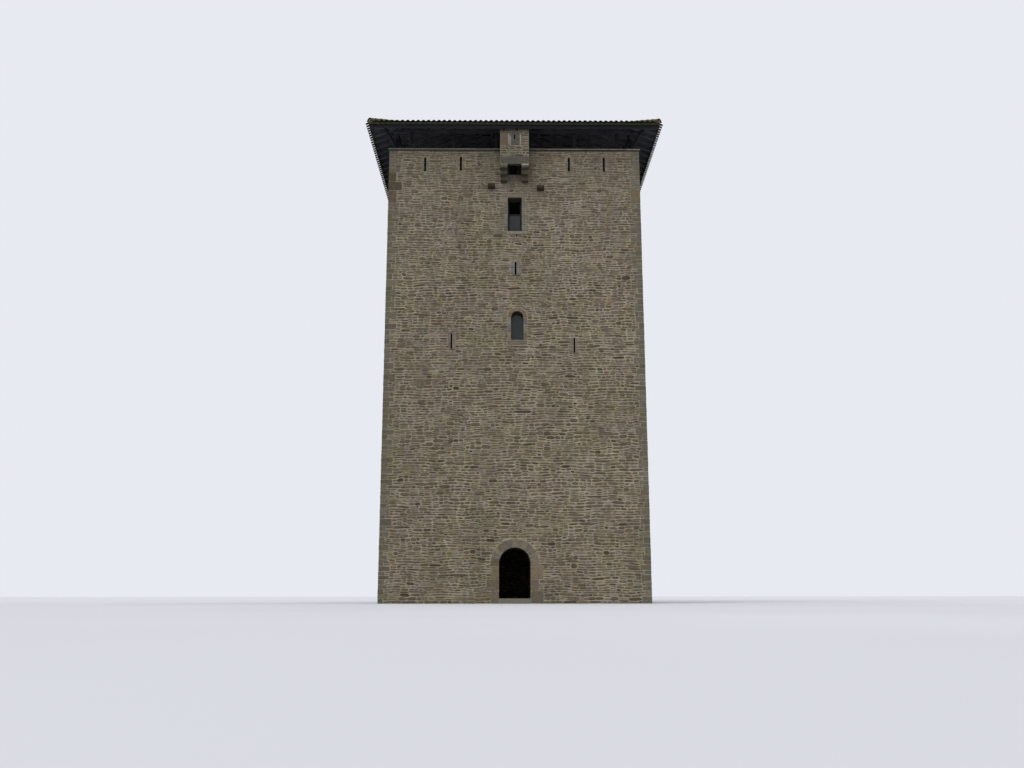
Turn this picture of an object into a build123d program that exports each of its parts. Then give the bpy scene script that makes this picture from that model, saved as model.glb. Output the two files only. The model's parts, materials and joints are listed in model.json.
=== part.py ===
import os
from math import atan, cos, sqrt

from build123d import *

# A square stone keep with plumb faces and thick walls that step back inside at each floor,
# a parapet with a stone coping, and a timber frame on posts that carries a hipped tile roof
# over the open wall walk. Millimetres, +Z up, origin at the middle of the plan at ground
# level. The front wall faces -Y.

# Plan
keep_side = 13600
base_wall = 2000
lower_wall = 1850
middle_wall = 1700
upper_wall = 1500
parapet_wall = 600

# Storeys, each from the ledge of one floor to the ledge of the next
base_storey = 11700
lower_storey = 4000
middle_storey = 2900
hall_storey = 3300
parapet_height = 2265
floor_thickness = 300
ground_floor_thickness = 250
coping_thickness = 75
coping_overhang = 60

# Doorway in the base
doorway_width = 1600
doorway_springing = 1700
doorway_shoulder = 400

# Low slits, middle slit and parapet slits, as offset, sill above the ledge below them
low_slits = [(-3305, 1300), (3130, 1100)]
middle_slit = (60, 1350)
parapet_slits = [(-4850, 1015), (-2910, 1065), (2970, 1040), (4875, 1020)]
low_slit_width = 80
low_slit_height = 800
middle_slit_width = 95
middle_slit_height = 720
parapet_slit_width = 120
parapet_slit_height = 800
slit_throat = 250
slit_splay_width = 900
slit_splay_height = 1500
parapet_slit_throat = 200
parapet_splay_width = 420
parapet_splay_height = 1030

# Arched window
arched_window_offset = 140
arched_window_sill = 1780
arched_window_width = 660
arched_window_height = 1560
arched_window_depth = 400
pane_lap = 60
pane_thickness = 30
reveal_step = 80
arched_splay_width = 1300
arched_splay_height = 2100

# Tall window
tall_window_offset = 20
tall_window_sill = 900
tall_window_width = 760
tall_window_height = 1920
tall_window_depth = 450
tall_splay_width = 1400
tall_splay_height = 2300
frame_thickness = 80
frame_member = 150
bottom_rail = 200
transom_above_sill = 1100
transom_height = 70
drain_offset = 120
drain_drop = 290
drain_width = 90
drain_height = 170
drain_depth = 500

# Machicolation box on the front, and the two corbel stubs under it
box_offset = 0
box_width = 1535
box_projection = 900
box_bottom = 1070
box_front_thickness = 250
box_cheek_thickness = 300
box_roof_gap = 50
box_slit_width = 80
box_slit_height = 290
box_slit_drop = 335
box_gap = 760
box_gap_sill = 835
rafter_pocket_width = 130
rafter_pocket_height = 130
rafter_pocket_depth = 200
corbel_width = 375
corbel_courses = 3
corbel_course = 235
corbel_nose = 70
corbel_tail = 350

# Stubs, as offset and level of the bottom from the ledge of the walk
stubs = [(-1240, 0), (1405, -100)]
stub_width = 390
stub_height = 210
stub_projection = 300
stub_nose = 120

# Roof timbers
roof_slope = 0.4
rafter_overhang = 960
rafter_foot_level = 960
rafter_depth = 160
rafter_width = 110
rafter_spacing = 710
rafter_offset = 125
shortest_rafter = 500
fascia_thickness = 30
fascia_height = 235
fascia_mitre_gap = 2
hip_rafter_width = 160
plate_width = 220
plate_depth = 190
post_width = 180
middle_bay_width = 1960
corner_bay_width = 850
tie_beam_width = 240
tie_beam_depth = 260
saddle_beam_width = 240
saddle_beam_depth = 260
saddle_beam_end = 120
king_post_width = 300
brace_foot_inset = 150
brace_head_overhang = 560
brace_width = 140
brace_half_depth = 100

# Roof covering
eave_overhang = 80
covering_thickness = 120
hip_tile_radius = 150
cap_radius = 330
cap_height = 260
cap_shoulder_radius = 230
cap_shoulder_height = 130
cap_skirt_height = 160

# Levels worked out from the storeys
half_side = keep_side / 2
lower_ledge = base_storey
middle_ledge = lower_ledge + lower_storey
hall_ledge = middle_ledge + middle_storey
walk_ledge = hall_ledge + hall_storey
parapet_top = walk_ledge + parapet_height
coping_top = parapet_top + coping_thickness

# Roof planes, each named by the level that it would reach over the middle of the plan
slope_cos = cos(atan(roof_slope))
rafter_reach = half_side + rafter_overhang
rafter_apex = coping_top + rafter_foot_level + roof_slope * rafter_reach
rafter_soffit_apex = rafter_apex - rafter_depth / slope_cos
covering_apex = rafter_apex + covering_thickness / slope_cos
eave_reach = rafter_reach + eave_overhang

# Lines of the roof frame, measured from the middle of the plan
post_line = half_side - parapet_wall / 2
tie_offset = middle_bay_width / 2
outer_post_offset = post_line - corner_bay_width
post_offsets = [tie_offset, (tie_offset + outer_post_offset) / 2, outer_post_offset]
hip_half_across = hip_rafter_width / sqrt(2)
rafter_room = rafter_reach - hip_half_across - shortest_rafter
rafter_count = int(rafter_room / rafter_spacing) + 1
rafter_lines = [rafter_offset + rafter_spacing * n for n in range(-rafter_count, rafter_count)]
rafter_offsets = [line for line in rafter_lines if abs(line) < rafter_room]

sides = {"front": 0, "right": 90, "back": 180, "left": 270}

os.makedirs("parts", exist_ok=True)


def plane_level(apex, run):
    """Level of a roof plane at a distance from the middle of the plan."""
    return apex - roof_slope * run


plate_bottom = plane_level(rafter_soffit_apex, post_line + plate_width / 2) - plate_depth


def front_plane(depth):
    """Upright plane parallel to the front face, at a depth behind it."""
    return Plane.XZ.offset(half_side - depth)


def save(piece, name):
    """Name a finished piece and write it."""
    piece.part.label = name
    export_step(piece.part, f"parts/{name}.step")


def save_on_all_sides(front_piece, ending):
    """Turn a piece of the front on to each side of the square plan."""
    for side, angle in sides.items():
        with BuildPart() as turned:
            add(front_piece.part, rotation=(0, 0, angle))
        save(turned, side + ending)


def wall_course(bottom, height, thickness, overhang=0):
    """One straight run of wall on the front, which passes the left corner and stops
    against the right side's wall."""
    run = keep_side + 2 * overhang - thickness
    with BuildPart() as course:
        with BuildSketch(Plane.XY.offset(bottom)):
            with Locations((-thickness / 2, -half_side - overhang + thickness / 2)):
                Rectangle(run, thickness)
        extrude(amount=height)
    return course.part


def splay(offset, middle, near, near_size, far, far_size):
    """The hollow of an embrasure, which widens from one depth in the wall to another."""
    near_run, far_run = near - half_side, far - half_side
    near_half, far_half = near_size[0] / 2, far_size[0] / 2
    near_rise, far_rise = near_size[1] / 2, far_size[1] / 2
    with BuildPart() as hollow:
        with BuildSketch(Plane.XY.offset(middle)):
            with BuildLine():
                Polyline(
                    (offset - near_half, near_run), (offset + near_half, near_run),
                    (offset + far_half, far_run), (offset - far_half, far_run), close=True,
                )
            make_face()
        extrude(amount=far_size[1], both=True)
        with BuildSketch(Plane.YZ.offset(offset)):
            with BuildLine():
                Polyline(
                    (near_run, middle - near_rise), (near_run, middle + near_rise),
                    (far_run, middle + far_rise), (far_run, middle - far_rise), close=True,
                )
            make_face()
        extrude(amount=far_size[0], both=True, mode=Mode.INTERSECT)
    return hollow.part


def opening(offset, middle, size, depth, start=0):
    """A straight hollow into the front, from a start behind its face."""
    with BuildPart() as hollow:
        with BuildSketch(front_plane(start)):
            with Locations((offset, middle)):
                Rectangle(*size)
        extrude(amount=start - depth)
    return hollow.part


def arrow_slit(offset, sill, size, throat, mouth, wall):
    """The hollows of an arrow slit: a straight throat outside and a splay to a wide mouth
    inside."""
    middle = sill + size[1] / 2
    return [
        opening(offset, middle, size, throat),
        splay(offset, middle, throat, size, wall, mouth),
    ]


def arch_outline(offset, sill, width, height):
    """A round-headed outline."""
    radius = width / 2
    springing = sill + height - radius
    with BuildSketch() as outline:
        with BuildLine():
            head = CenterArc((offset, springing), radius, 0, 180)
            Polyline(head @ 1, (offset - radius, sill), (offset + radius, sill), head @ 0)
        make_face()
    return outline.sketch


def roof_body(apex, reach):
    """The square pyramid under a roof plane, cut upright at the reach of its eaves."""
    eave = plane_level(apex, reach)
    with BuildPart() as body:
        for plane, mode in ((Plane.XZ, Mode.ADD), (Plane.YZ, Mode.INTERSECT)):
            with BuildSketch(plane):
                with BuildLine():
                    Polyline(
                        (-reach, parapet_top), (reach, parapet_top), (reach, eave),
                        (0, apex), (-reach, eave), close=True,
                    )
                make_face()
            extrude(amount=reach, both=True, mode=mode)
    return body.part


under_rafters = roof_body(rafter_soffit_apex, rafter_reach)
rafter_body = roof_body(rafter_apex, rafter_reach)
timber_body = roof_body(rafter_apex, eave_reach)
covering_body = roof_body(covering_apex, eave_reach)
roof_height = covering_apex - parapet_top

# Ground floor, which runs out through the doorway as its threshold
inside_base = keep_side - 2 * base_wall
with BuildPart() as ground_floor:
    with BuildSketch(Plane.XY):
        Rectangle(inside_base, inside_base)
        with Locations((0, -half_side + base_wall / 2)):
            Rectangle(doorway_width, base_wall)
    extrude(amount=ground_floor_thickness)
save(ground_floor, "ground_floor")

# Base of the front wall, split beside and over the doorway
door_half = doorway_width / 2
shoulder_half = door_half + doorway_shoulder
springing_level = ground_floor_thickness + doorway_springing
front_end = half_side - base_wall
with BuildPart() as front_wall_base:
    for hand, corner in ((-1, -half_side), (1, front_end)):
        with BuildSketch(front_plane(0)):
            with BuildLine():
                Polyline(
                    (corner, 0), (hand * door_half, 0), (hand * door_half, springing_level),
                    (hand * shoulder_half, springing_level), (hand * shoulder_half, base_storey),
                    (corner, base_storey), close=True,
                )
            make_face()
        extrude(amount=-base_wall)
save(front_wall_base, "front_wall_base")

with BuildPart() as over_door:
    with BuildSketch(front_plane(0)):
        with Locations((0, (springing_level + base_storey) / 2)):
            Rectangle(2 * shoulder_half, base_storey - springing_level)
        with Locations((0, springing_level)):
            Circle(door_half, mode=Mode.SUBTRACT)
    extrude(amount=-base_wall)
save(over_door, "front_wall_over_door")

# Base walls of the other three sides
base_course = wall_course(0, base_storey, base_wall)
for side in ("right", "back", "left"):
    with BuildPart() as base_side:
        add(base_course, rotation=(0, 0, sides[side]))
    save(base_side, side + "_wall_base")

# Lower walls: two storeys in one piece, with the low slits, the arched window and the
# middle slit
arched_sill = lower_ledge + arched_window_sill
arched_middle = arched_sill + arched_window_height / 2
lower_courses = [
    wall_course(lower_ledge, lower_storey, lower_wall),
    wall_course(middle_ledge, middle_storey, middle_wall),
]
lower_hollows = arrow_slit(
    middle_slit[0], middle_ledge + middle_slit[1], (middle_slit_width, middle_slit_height),
    slit_throat, (slit_splay_width, slit_splay_height), middle_wall,
)
for offset, rise in low_slits:
    lower_hollows += arrow_slit(
        offset, lower_ledge + rise, (low_slit_width, low_slit_height),
        slit_throat, (slit_splay_width, slit_splay_height), lower_wall,
    )
lower_hollows.append(
    splay(
        arched_window_offset, arched_middle, arched_window_depth,
        (arched_window_width + 2 * reveal_step, arched_window_height + 2 * reveal_step),
        lower_wall, (arched_splay_width, arched_splay_height),
    )
)
arched_window = arch_outline(
    arched_window_offset, arched_sill, arched_window_width, arched_window_height
)
with BuildPart() as wall_lower:
    add(lower_courses)
    add(lower_hollows, mode=Mode.SUBTRACT)
    with BuildSketch(front_plane(0)):
        add(arched_window)
    extrude(amount=-arched_window_depth, mode=Mode.SUBTRACT)
save_on_all_sides(wall_lower, "_wall_lower")

# Corbels of the machicolation box and the stubs beside it, each with its tail in the wall
box_level = walk_ledge + box_bottom
corbel_bottom = box_level - corbel_courses * corbel_course
corbel_centres = [
    box_offset - (box_gap + corbel_width) / 2 + (corbel_width + box_gap) * n for n in (0, 1)
]
with BuildPart() as corbels:
    for centre in corbel_centres:
        with BuildSketch(Plane.YZ.offset(centre)):
            for course in range(corbel_courses):
                reach = box_projection * (course + 1) / corbel_courses
                course_bottom = corbel_bottom + course * corbel_course
                with BuildLine():
                    nose = RadiusArc(
                        (-half_side - reach, course_bottom + corbel_nose),
                        (-half_side - reach + corbel_nose, course_bottom),
                        -corbel_nose,
                    )
                    Polyline(
                        nose @ 1, (-half_side + corbel_tail, course_bottom),
                        (-half_side + corbel_tail, course_bottom + corbel_course),
                        (-half_side - reach, course_bottom + corbel_course), nose @ 0,
                    )
                make_face()
        extrude(amount=corbel_width / 2, both=True)
    for offset, rise in stubs:
        stub_bottom = walk_ledge + rise
        with BuildSketch(Plane.YZ.offset(offset)):
            with BuildLine():
                nose = RadiusArc(
                    (-half_side - stub_projection, stub_bottom + stub_nose),
                    (-half_side - stub_projection + stub_nose, stub_bottom),
                    -stub_nose,
                )
                Polyline(
                    nose @ 1, (-half_side + corbel_tail, stub_bottom),
                    (-half_side + corbel_tail, stub_bottom + stub_height),
                    (-half_side - stub_projection, stub_bottom + stub_height), nose @ 0,
                )
            make_face()
        extrude(amount=stub_width / 2, both=True)
save(corbels, "corbels")

# Upper walls, each with its tall window. The front one has the drain and holds a stub
tall_sill = hall_ledge + tall_window_sill
tall_middle = tall_sill + tall_window_height / 2
upper_course = wall_course(hall_ledge, hall_storey, upper_wall)
upper_hollows = [
    opening(
        tall_window_offset, tall_middle, (tall_window_width, tall_window_height),
        tall_window_depth,
    ),
    splay(
        tall_window_offset, tall_middle, tall_window_depth,
        (tall_window_width + 2 * reveal_step, tall_window_height + 2 * reveal_step),
        upper_wall, (tall_splay_width, tall_splay_height),
    ),
]
with BuildPart() as wall_upper:
    add(upper_course)
    add(upper_hollows, mode=Mode.SUBTRACT)
for side in ("right", "back", "left"):
    with BuildPart() as upper_side:
        add(wall_upper.part, rotation=(0, 0, sides[side]))
    save(upper_side, side + "_wall_upper")

drain = opening(
    drain_offset, tall_sill - drain_drop + drain_height / 2, (drain_width, drain_height),
    drain_depth,
)
with BuildPart() as front_wall_upper:
    add(wall_upper.part)
    add(drain, mode=Mode.SUBTRACT)
    add(corbels.part, mode=Mode.SUBTRACT)
save(front_wall_upper, "front_wall_upper")

# Parapets with their coping
parapet_courses = [
    wall_course(walk_ledge, parapet_height, parapet_wall),
    wall_course(
        parapet_top, coping_thickness, parapet_wall + 2 * coping_overhang, coping_overhang
    ),
]
parapet_hollows = []
for offset, rise in parapet_slits:
    parapet_hollows += arrow_slit(
        offset, walk_ledge + rise,
        (parapet_slit_width, parapet_slit_height),
        parapet_slit_throat, (parapet_splay_width, parapet_splay_height), parapet_wall,
    )
with BuildPart() as parapet:
    add(parapet_courses)
    add(parapet_hollows, mode=Mode.SUBTRACT)
for side in ("right", "back", "left"):
    with BuildPart() as parapet_side:
        add(parapet.part, rotation=(0, 0, sides[side]))
    save(parapet_side, side + "_parapet")

# The front one is open behind the box, loses its coping there and holds the corbels
gap_bottom = walk_ledge + box_gap_sill
box_openings = [
    opening(
        box_offset, (gap_bottom + coping_top) / 2, (box_gap, coping_top - gap_bottom),
        parapet_wall + coping_overhang, -coping_overhang,
    ),
    opening(
        box_offset, parapet_top + coping_thickness / 2, (box_width, coping_thickness),
        0, -coping_overhang,
    ),
]
with BuildPart() as front_parapet:
    add(parapet.part)
    add(box_openings, mode=Mode.SUBTRACT)
    add(corbels.part, mode=Mode.SUBTRACT)
save(front_parapet, "front_parapet")

# Machicolation box: a front panel and two cheeks on the corbels, open below and above. The
# panel has a pocket in its top below each rafter
box_top = plane_level(rafter_soffit_apex, half_side + box_projection) - box_roof_gap
box_middle = (box_level + box_top) / 2
with BuildPart() as box_front:
    with BuildSketch(front_plane(-box_projection)):
        with Locations((box_offset, box_middle)):
            Rectangle(box_width, box_top - box_level)
        with Locations((box_offset, box_top - box_slit_drop - box_slit_height / 2)):
            Rectangle(box_slit_width, box_slit_height, mode=Mode.SUBTRACT)
    extrude(amount=-box_front_thickness)
    with BuildSketch(front_plane(-box_projection)):
        for line in rafter_offsets:
            if abs(line - box_offset) + rafter_pocket_width < box_width / 2:
                with Locations((line, box_top - rafter_pocket_height / 2)):
                    Rectangle(rafter_pocket_width, rafter_pocket_height)
    extrude(amount=-rafter_pocket_depth, mode=Mode.SUBTRACT)
save(box_front, "box_front")

cheek_run = box_projection - box_front_thickness
with BuildPart() as box_cheeks:
    with BuildSketch(Plane.XY.offset(box_level)):
        for hand in (-1, 1):
            centre = box_offset + hand * (box_width - box_cheek_thickness) / 2
            with Locations((centre, -half_side - cheek_run / 2)):
                Rectangle(box_cheek_thickness, cheek_run)
    extrude(amount=box_top - box_level)
save(box_cheeks, "box_cheeks")

# Floors, each on the ledge where the walls step back
floors = {
    "lower_floor": (lower_ledge, lower_wall),
    "middle_floor": (middle_ledge, middle_wall),
    "hall_floor": (hall_ledge, upper_wall),
    "wall_walk": (walk_ledge, parapet_wall),
}
for name, (ledge, wall) in floors.items():
    with BuildPart() as floor:
        with BuildSketch(Plane.XY.offset(ledge)):
            Rectangle(keep_side - 2 * wall, keep_side - 2 * wall)
        extrude(amount=floor_thickness)
    save(floor, name)

# Window frames: behind the step of each tall window, with a transom
frame_width = tall_window_width + 2 * pane_lap
frame_height = tall_window_height + 2 * pane_lap
light_width = frame_width - 2 * frame_member
light_bottom = tall_middle - frame_height / 2 + bottom_rail
light_top = tall_middle + frame_height / 2 - frame_member
transom_bottom = tall_sill + transom_above_sill - transom_height / 2
transom_top = transom_bottom + transom_height
with BuildPart() as front_frame:
    with BuildSketch(front_plane(tall_window_depth)):
        with Locations((tall_window_offset, tall_middle)):
            Rectangle(frame_width, frame_height)
        for bottom, top in ((light_bottom, transom_bottom), (transom_top, light_top)):
            with Locations((tall_window_offset, (bottom + top) / 2)):
                Rectangle(light_width, top - bottom, mode=Mode.SUBTRACT)
    extrude(amount=-frame_thickness)

with BuildPart() as window_frames:
    for angle in sides.values():
        add(front_frame.part, rotation=(0, 0, angle))
save(window_frames, "window_frames")

# Glass: the arched panes and the lower lights of the tall windows
arched_pane = arch_outline(
    arched_window_offset, arched_sill - pane_lap,
    arched_window_width + 2 * pane_lap, arched_window_height + 2 * pane_lap,
)
glass_depth = tall_window_depth + (frame_thickness - pane_thickness) / 2
with BuildPart() as front_glass:
    with BuildSketch(front_plane(arched_window_depth)):
        add(arched_pane)
    extrude(amount=-pane_thickness)
    with BuildSketch(front_plane(glass_depth)):
        with Locations((tall_window_offset, (light_bottom + transom_bottom) / 2)):
            Rectangle(light_width, transom_bottom - light_bottom)
    extrude(amount=-pane_thickness)

with BuildPart() as window_glass:
    for angle in sides.values():
        add(front_glass.part, rotation=(0, 0, angle))
save(window_glass, "window_glass")

# Gallery posts on the coping. The middle pair at the front and back stands under the ties
with BuildPart() as gallery_posts:
    for angle in sides.values():
        along_ties = angle % 180 == 0
        for offset in post_offsets:
            under_tie = along_ties and offset == tie_offset
            post_top = plate_bottom - (tie_beam_depth if under_tie else 0)
            turn = Plane(origin=(0, 0, coping_top), x_dir=(1, 0, 0)).rotated((0, 0, angle))
            with BuildSketch(turn):
                with Locations((-offset, -post_line), (offset, -post_line)):
                    Rectangle(post_width, post_width)
            extrude(amount=post_top - coping_top)
save(gallery_posts, "gallery_posts")

# Wall plates, bevelled on top to the slope of the rafters. Each passes one corner
plate_run = 2 * post_line
for name, angles in (("wall_plates_front_back", (0, 180)), ("wall_plates_sides", (90, 270))):
    with BuildPart() as plates:
        for angle in angles:
            turn = Plane(origin=(0, 0, plate_bottom), x_dir=(1, 0, 0)).rotated((0, 0, angle))
            with BuildSketch(turn):
                with Locations((-plate_width / 2, -post_line)):
                    Rectangle(plate_run, plate_width)
            extrude(amount=roof_height)
        add(under_rafters, mode=Mode.INTERSECT)
    save(plates, name)

# Tie beams under the plates, from front to back
with BuildPart() as tie_beams:
    with BuildSketch(Plane.XY.offset(plate_bottom - tie_beam_depth)):
        with Locations((-tie_offset, 0), (tie_offset, 0)):
            Rectangle(tie_beam_width, 2 * post_line + plate_width)
    extrude(amount=tie_beam_depth)
save(tie_beams, "tie_beams")

# King post on a saddle beam that lies across the ties. Its flats face the four hips
saddle_run = 2 * tie_offset + tie_beam_width + 2 * saddle_beam_end
with BuildPart() as king_post:
    with BuildSketch(Plane.XY.offset(plate_bottom)):
        Rectangle(king_post_width, king_post_width, rotation=45)
    extrude(amount=roof_height)
    add(rafter_body, mode=Mode.INTERSECT)
    with BuildSketch(Plane.XY.offset(plate_bottom)):
        Rectangle(saddle_run, saddle_beam_width)
    extrude(amount=saddle_beam_depth)
save(king_post, "king_post")

# Hip rafters, from the flats of the king post to the corners of the eaves
hip_run = rafter_reach * sqrt(2)
with BuildPart() as hip_rafters:
    with BuildSketch(Plane.XY.offset(parapet_top)):
        with PolarLocations(king_post_width / 2 + hip_run / 2, 4, start_angle=45):
            Rectangle(hip_run, hip_rafter_width)
        Rectangle(2 * rafter_reach, 2 * rafter_reach, mode=Mode.INTERSECT)
    extrude(amount=roof_height)
    add(rafter_body, mode=Mode.INTERSECT)
    add(under_rafters, mode=Mode.SUBTRACT)
save(hip_rafters, "hip_rafters")

# Jack rafters of one side, cut between its two hips
with BuildPart() as rafters:
    with BuildSketch(Plane.XY.offset(parapet_top)):
        with Locations([(offset, -rafter_reach / 2) for offset in rafter_offsets]):
            Rectangle(rafter_width, rafter_reach)
        with BuildLine():
            Polyline(
                (0, -hip_half_across),
                (-rafter_reach + hip_half_across, -rafter_reach),
                (rafter_reach - hip_half_across, -rafter_reach), close=True,
            )
        make_face(mode=Mode.INTERSECT)
        Rectangle(king_post_width, king_post_width, rotation=45, mode=Mode.SUBTRACT)
    extrude(amount=roof_height)
    add(rafter_body, mode=Mode.INTERSECT)
    add(under_rafters, mode=Mode.SUBTRACT)
save_on_all_sides(rafters, "_rafters")

# Fascia boards over the ends of the rafters, mitred at the corners with a narrow gap and
# bevelled on top under the covering
fascia_bottom = plane_level(rafter_apex, rafter_reach) - fascia_height
with BuildPart() as eave_fascia:
    with BuildSketch(Plane.XY.offset(fascia_bottom)):
        Rectangle(2 * (rafter_reach + fascia_thickness), 2 * (rafter_reach + fascia_thickness))
        Rectangle(2 * rafter_reach, 2 * rafter_reach, mode=Mode.SUBTRACT)
        for diagonal in (45, -45):
            Rectangle(4 * rafter_reach, fascia_mitre_gap, diagonal, mode=Mode.SUBTRACT)
    extrude(amount=roof_height)
    add(timber_body, mode=Mode.INTERSECT)
save(eave_fascia, "eave_fascia")

# Corner braces, from the coping out to the hip rafters
brace_head = post_line + brace_head_overhang
foot_run = (post_line - brace_foot_inset) * sqrt(2)
head_run = brace_head * sqrt(2)
head_level = plane_level(rafter_soffit_apex, brace_head)
with BuildPart() as corner_braces:
    for hand_x, hand_y in ((1, 1), (-1, 1), (-1, -1), (1, -1)):
        upright = Plane(origin=(0, 0, 0), x_dir=(hand_x, hand_y, 0), z_dir=(hand_y, -hand_x, 0))
        with BuildSketch(upright):
            with BuildLine():
                Polyline(
                    (foot_run - brace_half_depth, coping_top),
                    (foot_run + brace_half_depth, coping_top),
                    (head_run + brace_half_depth, head_level),
                    (head_run - brace_half_depth, head_level), close=True,
                )
            make_face()
        extrude(amount=brace_width / 2, both=True)
    add(under_rafters, mode=Mode.INTERSECT)
save(corner_braces, "corner_braces")

# Roof covering, one slab a side, mitred at the hips
with BuildPart() as covering:
    with BuildSketch(Plane.XY.offset(parapet_top)):
        with BuildLine():
            Polyline(
                (0, 0), (-eave_reach, -eave_reach), (eave_reach, -eave_reach), close=True
            )
        make_face()
    extrude(amount=roof_height)
    add(covering_body, mode=Mode.INTERSECT)
    add(timber_body, mode=Mode.SUBTRACT)
save_on_all_sides(covering, "_roof")

# Apex cap: an upright skirt under a shouldered cone, seated on the covering
cap_foot = plane_level(covering_apex, cap_radius) - cap_skirt_height
with BuildPart() as apex_cap:
    with BuildSketch(Plane.XZ):
        with BuildLine():
            Polyline(
                (0, cap_foot), (cap_radius, cap_foot),
                (cap_radius, covering_apex - cap_skirt_height / 2),
                (cap_shoulder_radius, covering_apex + cap_shoulder_height),
                (0, covering_apex + cap_height), close=True,
            )
        make_face()
    revolve(axis=Axis.Z)
    add(covering_body, mode=Mode.SUBTRACT)
save(apex_cap, "apex_cap")

# Hip tiles: half-round covers that follow each hip down from the cap
with BuildPart() as hip_tiles:
    for hand_x, hand_y in ((1, 1), (-1, 1), (-1, -1), (1, -1)):
        down_hip = Vector(hand_x, hand_y, -roof_slope)
        with BuildSketch(Plane(origin=(0, 0, covering_apex), z_dir=down_hip)):
            Circle(hip_tile_radius)
        extrude(amount=2 * eave_reach)
    with BuildSketch(Plane.XY.offset(parapet_top)):
        Rectangle(2 * eave_reach, 2 * eave_reach)
        Circle(cap_radius, mode=Mode.SUBTRACT)
    extrude(amount=2 * roof_height, mode=Mode.INTERSECT)
    add(covering_body, mode=Mode.SUBTRACT)
save(hip_tiles, "hip_tiles")
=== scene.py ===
import json
import math
import random

import bpy
import numpy as np
from mathutils import Matrix, Vector


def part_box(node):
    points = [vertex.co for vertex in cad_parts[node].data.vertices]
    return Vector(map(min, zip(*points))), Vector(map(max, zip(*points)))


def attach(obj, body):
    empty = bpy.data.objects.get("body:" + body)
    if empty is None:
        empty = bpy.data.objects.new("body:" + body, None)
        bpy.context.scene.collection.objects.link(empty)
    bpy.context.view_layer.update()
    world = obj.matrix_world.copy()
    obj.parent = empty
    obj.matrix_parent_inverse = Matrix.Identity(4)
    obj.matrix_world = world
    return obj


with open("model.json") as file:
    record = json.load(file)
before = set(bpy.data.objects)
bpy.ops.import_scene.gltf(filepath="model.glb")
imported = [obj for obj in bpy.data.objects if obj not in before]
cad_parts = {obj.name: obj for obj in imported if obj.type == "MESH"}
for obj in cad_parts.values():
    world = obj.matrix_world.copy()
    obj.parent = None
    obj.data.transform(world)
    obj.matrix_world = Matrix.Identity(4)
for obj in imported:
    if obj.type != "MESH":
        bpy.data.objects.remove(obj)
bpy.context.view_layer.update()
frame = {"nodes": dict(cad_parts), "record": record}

# Everything is in metres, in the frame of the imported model. The front faces -Y.

# Read from the frame
HALF = -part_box("front_wall_base")[0].x
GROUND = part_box("front_wall_base")[0].z
COPING_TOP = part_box("front_parapet")[1].z
COPING_OUT = -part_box("front_parapet")[0].y
BOX_LOW, BOX_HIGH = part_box("box_front")
ROOF_LOW, ROOF_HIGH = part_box("front_roof")
EAVE = -ROOF_LOW.y

# Openings and fittings of the walls, as offset and foot, with width and height
DOOR_HALF = 0.8
DOOR_SPRINGING = 1.95
ARCHED = (0.14, 13.48)
ARCHED_SIZE = (0.66, 1.56)
TALL = (0.02, 19.5)
TALL_SIZE = (0.76, 1.92)
LOW_SLITS = [(-3.305, 13.0), (3.13, 12.8)]
LOW_SLIT_SIZE = (0.08, 0.8)
MIDDLE_SLIT = (0.06, 17.05)
MIDDLE_SLIT_SIZE = (0.095, 0.72)
PARAPET_SLITS = [(-4.85, 22.915), (-2.91, 22.965), (2.97, 22.94), (4.875, 22.92)]
PARAPET_SLIT_SIZE = (0.12, 0.8)
DRAIN = (0.12, 19.21)
DRAIN_SIZE = (0.09, 0.17)
STUBS = [(-1.24, 21.9), (1.405, 21.8)]
STUB_SIZE = (0.39, 0.21)
STUB_TOP = 22.18

# The box, with its panel as left, right, foot and top
BOX_MIDDLE = (BOX_HIGH.x + BOX_LOW.x) / 2
BOX_SLIT_SIZE = (0.08, 0.29)
BOX_SLIT_DROP = 0.335
BOX_PANEL = (-0.195, 0.28, 24.03, 24.78)
BOX_LINTEL = 0.43
BOX_POCKETS = (-0.585, 0.125)
BOX_POCKET_SIZE = (0.13, 0.13)
BOX_GAP = (-0.38, 0.38)
BOX_GAP_SILL = 22.735
CORBEL_HEIGHT = 0.7
CORBEL_FOOT = BOX_LOW.z - CORBEL_HEIGHT
CORBEL_BED = 0.07

# Dressed stones round the openings, as runs to the left and to the right
JAMB_STEP = 0.03
DOOR_COURSES = (GROUND, 0.62, 1.18, 1.83, DOOR_SPRINGING)
DOOR_RUNS = ((0.4, 0.62), (0.62, 0.4), (0.4, 0.62), (0.46, 0.46))
DOOR_RING = 0.42
ARCHED_RING = 0.2
ARCHED_RUN = 0.18
TALL_RUNS = ((0.2, 0.36), (0.42, 0.2))
VOUSSOIR_JOINT = 0.006

# Facing stones. STONE_LENGTH is the mean and spread of the logarithm.
COURSES = (0.11, 0.12, 0.13, 0.14, 0.15, 0.16, 0.18)
STONE_LENGTH = (-1.08, 0.4)
SHORTEST, LONGEST = 0.2, 0.9
LEAST_END = 0.14
LEAST_GAP, LEAST_HEIGHT = 0.03, 0.035
TOUCH = 1e-6
JUMPS = (0.04, 0.06, 0.09)
SPLIT_HEIGHT = 0.16
LOW_SCALE = 1.06
BOX_SCALE = 0.8
FACING_SPLIT = 12.0
FACING_SINK = 0.012
FOOT_SHARES = (0.5, 1.0, 1.0, 0.5, 0.0, 0.0, 0.0, 0.0)
DRESSED_RELIEF = 0.014
DRESSED_WEAR = 0.1
QUOIN_HEIGHT = 0.27
PARAPET_WALL = 0.6
COPING_THICKNESS = 0.075
COPING_SLAB = 0.92
COPING_WIDTH = 2 * (COPING_OUT - HALF) + PARAPET_WALL
WALL_TOP = COPING_TOP - COPING_THICKNESS

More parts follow.
